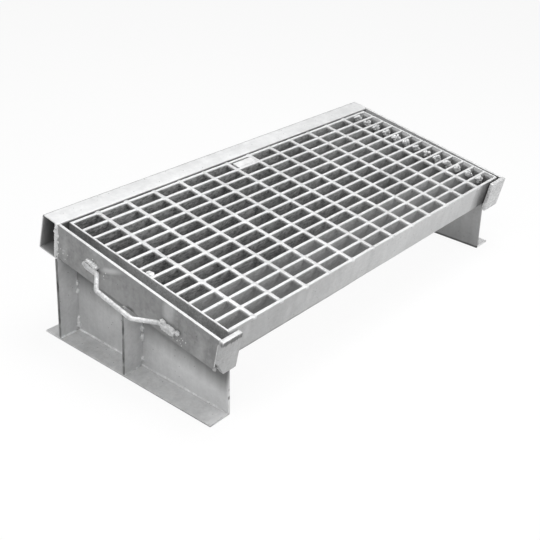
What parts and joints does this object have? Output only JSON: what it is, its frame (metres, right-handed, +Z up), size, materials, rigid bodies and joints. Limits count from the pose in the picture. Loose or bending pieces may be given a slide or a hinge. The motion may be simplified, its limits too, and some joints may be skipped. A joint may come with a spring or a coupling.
{
  "type": "kerb inlet grate",
  "caption": "Galvanised welded bar grating lying in a sloped steel frame with two plate legs, a hollow kerb section behind and bent anchor bars at the ends.",
  "frame": {"origin": "middle of the footprint at the underside of the feet", "axes": "+X along the kerb to the right, +Y towards the kerb (the high side), +Z up"},
  "size_m": [1.495, 0.6316, 0.3477],
  "materials": {
    "galvanised_grate": "bright hot-dip galvanised",
    "galvanised_frame": "dull hot-dip galvanised with cloudy spangle",
    "galvanised_bar": "dull hot-dip galvanised"
  },
  "bodies": {
    "root": {"grate": "galvanised_grate", "lock_plate": "galvanised_grate", "end_lug": "galvanised_grate", "kerb_tube": "galvanised_frame", "side_angle_left": "galvanised_frame", "side_angle_right": "galvanised_frame", "stop_left": "galvanised_frame", "stop_right": "galvanised_frame", "leg_left": "galvanised_frame", "leg_right": "galvanised_frame", "gusset_left_rear": "galvanised_frame", "gusset_left_middle": "galvanised_frame", "gusset_right_rear": "galvanised_frame", "gusset_right_middle": "galvanised_frame", "anchor_bar_left": "galvanised_bar", "anchor_bar_right": "galvanised_bar"}
  },
  "joints": []
}
